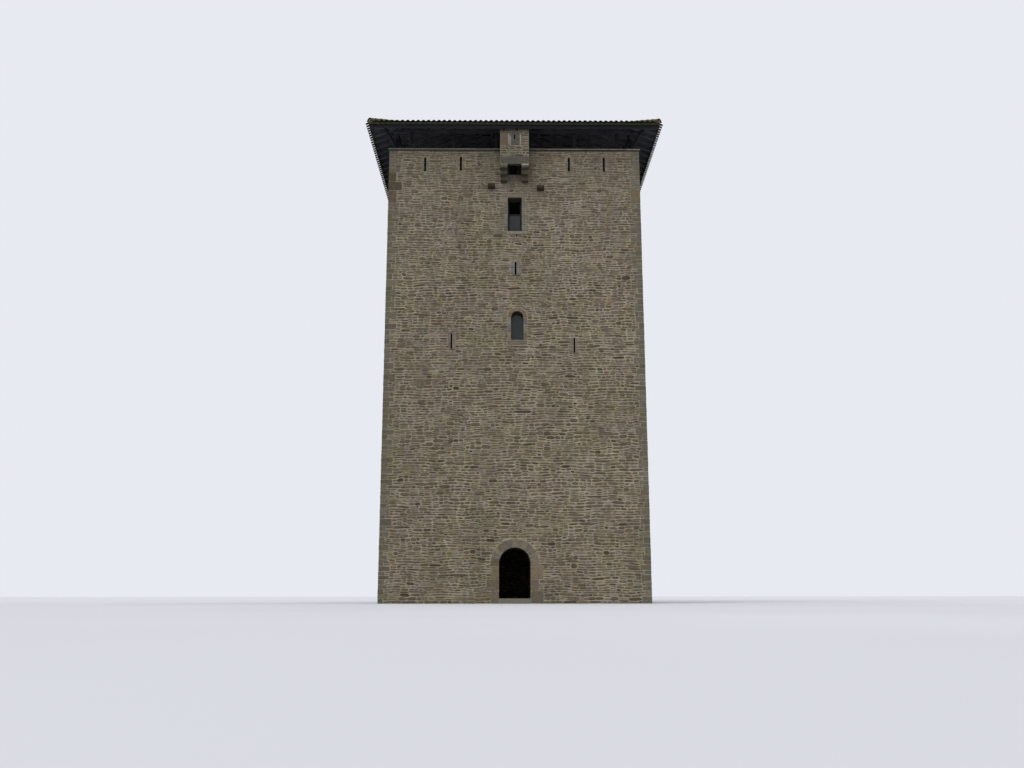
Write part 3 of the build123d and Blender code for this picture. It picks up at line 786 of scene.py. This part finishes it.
        # Two points at each corner, cut off towards its neighbours before and after it
        here = np.repeat(quads, 2, axis=1)
        away = unit(quads[:, (3, 1, 0, 2, 1, 3, 2, 0)] - here)
        ring = here + away * cut[:, (1, 0, 0, 1, 1, 0, 0, 1), None]
        ring += noise.uniform(-0.004, 0.004, ring.shape) * wear[:, None, None]
        ring[..., 1] += self.sway(ring[..., 0], ring[..., 1])
        ring[..., 1] = np.maximum(ring[..., 1], GROUND)
        middle = ring.mean(axis=1, keepdims=True)
        bevel = np.minimum(0.012, size.min(axis=1) * 0.16)[:, None, None]
        face = ring + unit(middle - ring) * bevel
        chamfer = np.minimum(0.02, size[:, [1]] * 0.15)
        face[..., 1] += chamfer * FOOT_SHARES
        tilt = noise.uniform(-0.35, 0.35, size.shape)
        rel = (face - middle) / (size[:, None, :] + 1e-9)
        lift = proud[:, None] * (1 + (rel * tilt[:, None, :]).sum(axis=2))
        sink = np.full_like(lift, -FACING_SINK)
        back = self.surface.place(ring[..., 0], ring[..., 1], sink)
        front = self.surface.place(face[..., 0], face[..., 1], lift)
        make_piece(name, [back, front], tints, "rubble_stone")


def jambs(wall, left, right, edges, ends, palette, spread=0.06):
    """Jamb stones beside an opening, in courses between edges. The courses take turns with
    pairs of ends, where their left and right stones stop."""
    for n, (low, high) in enumerate(pairs(edges)):
        left_end, right_end = ends[n % len(ends)]
        wall.block(left_end, left, low, high, palette, spread=spread)
        wall.block(right, right_end, low, high, palette, spread=spread)


def even_courses(foot, height, stones):
    return [foot + height * n / stones for n in range(stones + 1)]


def slit_surround(wall, offset, foot, size, stones=2, palette=GREY_DRESSED, jamb=0.13):
    """Narrow jambs in a few stones on both sides of a slit."""
    left, right = wall.opening(offset, foot, size)
    ends = ((left - jamb, right + jamb + JAMB_STEP), (left - jamb - JAMB_STEP, right + jamb))
    jambs(wall, left, right, even_courses(foot, size[1], stones), ends, palette)


def tall_surround(wall):
    """The tall window's jamb stones bonded in and out, lintel in one piece and smooth sill."""
    foot, height = TALL[1], TALL_SIZE[1]
    left, right = wall.opening(*TALL, TALL_SIZE)
    ends = [(left - left_run, right + right_run) for left_run, right_run in TALL_RUNS]
    jambs(wall, left, right, even_courses(foot, height, 6), ends, GREY_DRESSED, 0.09)
    top = foot + height
    wall.block(left - 0.3, right + 0.3, top, top + 0.2, TALL_LINTEL)
    wall.block(left - 0.04, right + 0.22, foot - 0.2, foot, TALL_SILL, proud=0.02)
    wall.block(left - 0.72, left - 0.04, foot - 0.2, foot - 0.02, SILL_SLAB)


def arch_stones(wall, centre, springing, radius, ring, count, palette):
    """Voussoirs about a round head, each blocked out of the rubble behind."""
    outer = radius + ring
    for n in range(count):
        start = math.pi * n / count
        end = math.pi * (n + 1) / count
        gap = VOUSSOIR_JOINT / radius
        outline = [
            (centre + reach * math.cos(angle), springing + reach * math.sin(angle))
            for reach, angle in (
                (radius, start + gap), (outer, start + gap * 0.7),
                (outer, end - gap * 0.7), (radius, end - gap),
            )
        ]
        tint = pick(palette, wall.rng, 0.08)
        wall.stones.append((outline, DRESSED_RELIEF, tint, DRESSED_WEAR))
    for low, high in pairs(even_courses(0, outer, 8)):
        half = math.sqrt(outer ** 2 - low ** 2)
        wall.clear(centre - half, centre + half, springing + low, springing + high)


def arched_surround(wall):
    """The arched window's ochre voussoirs, thin jambs and sill block."""
    centre, foot = ARCHED
    half = ARCHED_SIZE[0] / 2
    springing = foot + ARCHED_SIZE[1] - half
    left, right = centre - half, centre + half
    wall.clear(left, right, foot, springing)
    arch_stones(wall, centre, springing, half, ARCHED_RING, 6, OCHRE_DRESSED)
    edges = even_courses(foot, springing - foot, 3)
    ends = [(left - ARCHED_RUN, right + ARCHED_RUN)]
    jambs(wall, left, right, edges, ends, GREY_DRESSED)
    wall.block(left - 0.2, right + 0.2, foot - 0.08, foot, ARCHED_SILL, proud=0.022)
    wall.block(left - 0.2, right + 0.2, foot - 0.27, foot - 0.08, BROWN_DRESSED)


def door_surround(wall):
    """The doorway's voussoirs, imposts and jamb slabs."""
    palette = BROWN_DRESSED + GREY_DRESSED
    arch_stones(wall, 0.0, DOOR_SPRINGING, DOOR_HALF, DOOR_RING, 13, palette)
    wall.clear(-DOOR_HALF, DOOR_HALF, GROUND, DOOR_SPRINGING)
    ends = [(-DOOR_HALF - left_run, DOOR_HALF + right_run) for left_run, right_run in DOOR_RUNS]
    jambs(wall, -DOOR_HALF, DOOR_HALF, DOOR_COURSES, ends, BROWN_DRESSED)


def quoins():
    """Dressed corner blocks that turn each corner, and the faces that they take up."""
    rng = random.Random(7)
    taken = {side: [] for side in range(4)}
    rings = [[], [], [], []]
    tints = []
    joint, bevel, margin = 0.01, 0.012, 0.05
    for corner in range(4):
        surface = Surface(90 * corner)
        marked = MARKED_QUOINS.get(corner, [])
        stops = [WALL_TOP, *[edge for mark in marked for edge in mark[:2]], GROUND]
        courses = []
        for high, low in zip(stops[::2], stops[1::2]):
            ends = share_out(rng, low, high, QUOIN_HEIGHT, 0.35) if high - low > margin else []
            courses.extend((*course, None) for course in pairs(ends))
        courses.extend((low, high, (run, colour)) for high, low, run, colour in marked)
        courses.sort(key=lambda course: course[0])
        for n, (low, high, mark) in enumerate(courses):
            long_run, short_run = rng.uniform(0.42, 0.62), rng.uniform(0.24, 0.36)
            right_run, left_run = (long_run, short_run) if n % 2 else (short_run, long_run)
            tint = pick(QUOIN_COLOURS, rng, 0.07)
            if mark:
                seen_run, colour = mark
                runs = (seen_run, short_run if seen_run > 0.45 else long_run)
                right_run, left_run = runs if corner == 0 else runs[::-1]
                tint = srgb(*colour)
            proud = rng.uniform(0.003, 0.012)
            add_block(
                rings, surface, -HALF - proud, -HALF + right_run - joint,
                HALF - left_run + joint, HALF + proud, low + joint, high - joint, bevel,
            )
            tints.append(tint)
            taken[corner].append((-HALF - margin, -HALF + right_run, low, high))
            taken[(corner - 1) % 4].append((HALF - left_run, HALF + margin, low, high))
    make_piece("quoins", rings, tints, "dressed_stone")
    return taken


def walls():
    """Facing stones on the four sides, in a lower and an upper piece a side."""
    taken = quoins()
    for side, name in enumerate(SIDES):
        surface = Surface(90 * side, HALF)
        wall = Masonry(surface, 10 * side, taken[side], scale=LOW_SCALE)
        if side == 0:
            door_surround(wall)
        wall.rubble(-HALF, HALF, GROUND, FACING_SPLIT)
        wall.make(name + "_stones_low")

        wall = Masonry(surface, 10 * side + 1, taken[side])
        for slit in LOW_SLITS:
            slit_surround(wall, *slit, LOW_SLIT_SIZE)
        slit_surround(wall, *MIDDLE_SLIT, MIDDLE_SLIT_SIZE, 2, BLUISH_DRESSED, 0.22)
        arched_surround(wall)
        tall_surround(wall)
        for slit in PARAPET_SLITS:
            slit_surround(wall, *slit, PARAPET_SLIT_SIZE, 3, SLIT_STONES)
        if side == 0:
            front_features(wall)
        wall.rubble(-HALF, HALF, FACING_SPLIT, WALL_TOP)
        wall.make(name + "_stones_high")


def front_features(wall):
    """Keeps the facing off the box, the corbels, the stubs and the drain, and sets the wide
    joints and the slab under the box."""
    wall.clear(BOX_LOW.x, BOX_GAP[0], CORBEL_FOOT, WALL_TOP)
    wall.clear(BOX_GAP[1], BOX_HIGH.x, CORBEL_FOOT, WALL_TOP)
    wall.clear(*BOX_GAP, BOX_GAP_SILL, WALL_TOP)
    for stub in STUBS:
        wall.opening(*stub, STUB_SIZE)
    wall.opening(*DRAIN, DRAIN_SIZE)
    for *edges, colour in WIDE_JOINTS:
        wall.block(*edges, [(1, colour)], 0.0, 0.006)
    wall.block(*BOX_GAP, CORBEL_FOOT, BOX_GAP_SILL, MOUTH_SLAB, 0.004, 0.01)


def machicolation():
    """Facing of the box: rubble above a smooth lintel band, and light jambs at its slit."""
    half = (BOX_HIGH.x - BOX_LOW.x) / 2
    projection = -BOX_LOW.y - HALF
    band_top = BOX_LOW.z + BOX_LINTEL
    rubble = ((), BOX_STONES, BOX_SCALE)
    front = Masonry(Surface(0, HALF + projection, BOX_MIDDLE), 60, *rubble)
    front.block(-half, half, BOX_LOW.z, band_top, BOX_BAND, 0.002, 0.01)
    foot = BOX_HIGH.z - BOX_SLIT_DROP - BOX_SLIT_SIZE[1]
    top = foot + BOX_SLIT_SIZE[1]
    slit_left, slit_right = front.opening(0.0, foot, BOX_SLIT_SIZE)
    left, right, low, high = BOX_PANEL
    for stone in (
        (left, slit_left, low, high, PANEL_STONES, 0.004, 0.012),
        (slit_right, right, low, high, PANEL_STONES, 0.004, 0.012),
        (slit_left, slit_right, low, foot, PANEL_STONES, 0.001, 0.012),
        (slit_left, slit_right, top, high, PANEL_STONES, 0.001, 0.012),
        (left - 0.13, left - 0.09, low + 0.05, high - 0.1, JOINT_FILL, 0.0, 0.01),
        (left - 0.09, left - 0.045, low + 0.1, high - 0.15, PANEL_STONES, 0.0, 0.006),
        (left - 0.045, left - 0.005, low, high - 0.2, JOINT_FILL, 0.0, 0.01),
        (right + 0.01, right + 0.055, low, high - 0.1, JOINT_FILL, 0.0, 0.01),
        (-half, left - 0.13, low, low + 0.6, PINKISH_STONE, 0.01, 0.012),
    ):
        front.block(*stone)
    for pocket in BOX_POCKETS:
        front.opening(pocket, BOX_HIGH.z - BOX_POCKET_SIZE[1], BOX_POCKET_SIZE)
    front.rubble(-half, half, band_top, BOX_HIGH.z)
    front.make("box_front_stones")
    half = projection / 2
    for hand, edge, name in ((1, BOX_HIGH.x, "right"), (-1, -BOX_LOW.x, "left")):
        face = Masonry(Surface(90 * hand, edge, -hand * (HALF + half)), 61 + hand, *rubble)
        face.block(-half, half, BOX_LOW.z, band_top, BOX_BAND, 0.002, 0.01)
        face.rubble(-half, half, band_top, BOX_HIGH.z)
        face.make(f"box_{name}_stones")


def coping():
    """Thin coping slabs on each parapet. In front they leave a gap for the box, and reach less
    far out over its tails in the wall."""
    rng = random.Random(21)
    rings = [[], [], [], []]
    tints = []
    over, joint, bevel, least = 0.006, 0.003, 0.01, 0.05
    inner = COPING_OUT - COPING_WIDTH
    whole = [(-COPING_OUT, COPING_OUT, COPING_OUT)]
    cut = [
        (-COPING_OUT, BOX_LOW.x, COPING_OUT), (BOX_LOW.x, BOX_GAP[0], HALF - 0.01),
        (BOX_GAP[1], BOX_HIGH.x, HALF - 0.01), (BOX_HIGH.x, COPING_OUT, COPING_OUT),
    ]
    for side in range(4):
        surface = Surface(90 * side)
        ends = share_out(rng, -COPING_OUT, inner, COPING_SLAB, 0.2)
        for start, stop in pairs(ends):
            for low, high, reach in whole if side else cut:
                left, right = max(start, low), min(stop, high)
                if right - left <= least:
                    continue
                top = COPING_TOP + over + rng.uniform(0.0, 0.006)
                add_block(
                    rings, surface, left + joint, right - joint, inner - over, reach + over,
                    WALL_TOP - over, top, bevel,
                )
                tints.append(pick(COPING_STONES, rng, 0.08))
    make_piece("coping_slabs", rings, tints, "dressed_stone")


# Roof

def half_round(radius, thickness, steps):
    """A half-round tile's cross-section, over its back and home inside, across and up."""
    arc = [math.pi * n / steps for n in range(steps + 1)]
    return np.array([
        (reach * math.cos(angle), reach * math.sin(angle))
        for reach, angles in ((radius, arc), (radius - thickness, arc[::-1]))
        for angle in angles
    ]).T


def tile_ring(surface, u, at, radius, height, is_cover):
    """The cross-section of a tile at a distance up the slope. Covers arch up, and channels are
    flatter and open upwards."""
    run = at * SLOPE_COS
    across, up = half_round(radius, TILE_THICKNESS, 4)
    if is_cover:
        up = up * 0.95 + 0.012
    else:
        across, up = -across, (radius - up) * 0.62
    base = EAVE_TOP + ROOF_SLOPE * run
    return surface.place(u + across, base + height + up, np.full(len(up), EAVE - run))


def tile_columns():
    """Cover and channel tiles in columns up each slope, cut at the hips."""
    columns = int(2 * EAVE / TILE_PITCH)
    first = -columns * TILE_PITCH / 2 + TILE_PITCH / 2 + TILE_SHIFT
    rng = random.Random(31)
    for side, name in enumerate(SIDES):
        surface = Surface(90 * side)
        lows, highs, tints = [], [], []
        for column in range(columns + 1):
            for is_cover, back, overhang, radii in TILE_KINDS:
                u = first + (column - back) * TILE_PITCH
                if EAVE - abs(u) < 0.1:
                    continue
                length = (EAVE - abs(u)) / SLOPE_COS
                for step in range(max(1, math.ceil(length / TILE_EXPOSURE - 0.35))):
                    start = step * TILE_EXPOSURE - overhang
                    stop = min(start + TILE_LENGTH, length + 0.1)
                    if stop - start < 0.08:
                        continue
                    lift = rng.uniform(-0.004, 0.006)
                    slide = rng.uniform(-0.008, 0.008)
                    both = (start + slide if step else start, stop)
                    for at, radius, bed, store in zip(both, radii, TILE_BEDS, (lows, highs)):
                        store.append(tile_ring(surface, u, at, radius, bed + lift, is_cover))
                    tints.append(pick(CLAY, rng, 0.1))
        make_piece(name + "_tiles", [highs, lows], tints, "clay_tile")


def hip_covers():
    """Larger half-round tiles bedded down each hip."""
    rng = random.Random(41)
    lows, highs, tints = [], [], []
    hip_run = EAVE * math.sqrt(2)
    fall = ROOF_SLOPE / math.sqrt(2)
    level = 1 / math.sqrt(1 + fall ** 2)
    for corner in range(4):
        angle = math.radians(45 + 90 * corner)
        out = np.array([math.cos(angle), math.sin(angle), 0.0])
        sideways = np.array([-math.sin(angle), math.cos(angle), 0.0])
        for step in range(int((hip_run - 0.3) / (HIP_EXPOSURE * level))):
            start = hip_run - 0.02 - step * HIP_EXPOSURE * level
            stop = start - HIP_LENGTH * level
            lift = rng.uniform(-0.004, 0.008)
            for at, radius, bed, store in zip((start, stop), HIP_RADII, HIP_BEDS, (lows, highs)):
                across, up = half_round(radius, HIP_THICKNESS, 6)
                ring = out * at + across[:, None] * sideways
                ring[:, 2] = ROOF_HIGH.z - fall * at + (up + bed + lift)
                store.append(ring)
            tints.append(pick(HIP_CLAY, rng, 0.1))
    make_piece("hip_covers", [highs, lows], tints, "clay_tile")


# Stage, light and camera

def dress_nodes():
    """Puts the finished materials on the CAD nodes."""
    by_slot = {
        "rubble_stone": "mortar", "clay_tile": "roof_boards", "oak_floor": "oak_boards",
        "stained_timber": "stained_timber_z",
    }
    by_node = {
        "ground_floor": "flagstones", "wall_walk": "weathered_boards", "hip_tiles": "hip_bed",
        "apex_cap": "clay_cap", "wall_plates_front_back": "stained_timber_x",
        "wall_plates_sides": "stained_timber_y", "tie_beams": "stained_timber_y",
        "front_rafters": "rafters_y", "back_rafters": "rafters_y", "left_rafters": "rafters_x",
        "right_rafters": "rafters_x", "hip_rafters": "hip_rafters",
        "corner_braces": "stained_timber_braces", "eave_fascia": "fascia_boards",
    }
    for entry in frame["record"]["subparts"]:
        name, slot = entry["node"], entry["material_slot"]
        materials = frame["nodes"][name].data.materials
        materials.clear()
        materials.append(MATERIALS[by_node.get(name, by_slot.get(slot, slot))])


def stage():
    """A pale floor, soft light all round and a pale background."""
    size = 400
    mesh = bpy.data.meshes.new("floor")
    corners = [(*corner, 0) for corner in rectangle(-size, size, -size, size)]
    mesh.from_pydata(corners, [], [(0, 1, 2, 3)])
    floor = add_object("floor", mesh)
    floor.location.z = GROUND - 0.002
    sh = Shader("pale_floor")
    shade = sh.ramp(sh.noise(0.05, 3.0), (0.3, srgb(205, 205, 206)), (0.7, srgb(212, 212, 213)))
    sh.finish(shade, 0.9, 0.1)
    mesh.materials.append(sh.material)

    world = bpy.data.worlds.new("pale_sky")
    bpy.context.scene.world = world
    world.use_nodes = True
    sky = Tree(world.node_tree)
    light = sky.tree.nodes["Background"]
    sky.fill(light, {"Color": srgb(244, 247, 255), "Strength": 0.98})
    seen = sky.node("Background", {"Color": srgb(232, 234, 241), "Strength": 1.0})
    path = sky.node("LightPath")
    sees_sky = path.outputs["Is Camera Ray"]
    for kind in ("Is Glossy Ray", "Is Transmission Ray"):
        sees_sky = sky.math("MAXIMUM", sees_sky, path.outputs[kind])
    choice = sky.node("MixShader", {
        "Fac": sees_sky, 1: light.outputs["Background"], 2: seen.outputs["Background"],
    })
    sky.fill(sky.tree.nodes["World Output"], {"Surface": choice.outputs["Shader"]})

    sun = add_object("soft_sun", bpy.data.lights.new("soft_sun", "SUN"))
    sun.data.energy = 1.1
    sun.data.angle = math.radians(40)
    sun.rotation_euler = (math.radians(48), math.radians(-16), math.radians(-18))


def camera():
    """The photograph's camera: 50 m in front, near the ground, tilted up."""
    focal_pixels = 989.4
    frame_width = 1024
    back_from_face = 50.15
    eye = Vector((-0.582, -HALF - back_from_face, 0.38))
    pitch = math.radians(12.083)
    yaw = math.radians(0.507)
    roll = math.radians(-0.046)
    data = bpy.data.cameras.new("camera")
    data.sensor_width = 36
    data.lens = focal_pixels / frame_width * data.sensor_width
    data.clip_end = 1000
    view = add_object("camera", data)
    turn = Matrix.Rotation(-yaw, 4, "Z") @ Matrix.Rotation(math.pi / 2 + pitch, 4, "X")
    view.matrix_world = Matrix.Translation(eye) @ turn @ Matrix.Rotation(roll, 4, "Z")
    bpy.context.scene.camera = view


camera()
stage()
dress_nodes()
walls()
machicolation()
coping()
tile_columns()
hip_covers()

bpy.context.scene.view_settings.view_transform = "Standard"

bpy.context.view_layer.update()
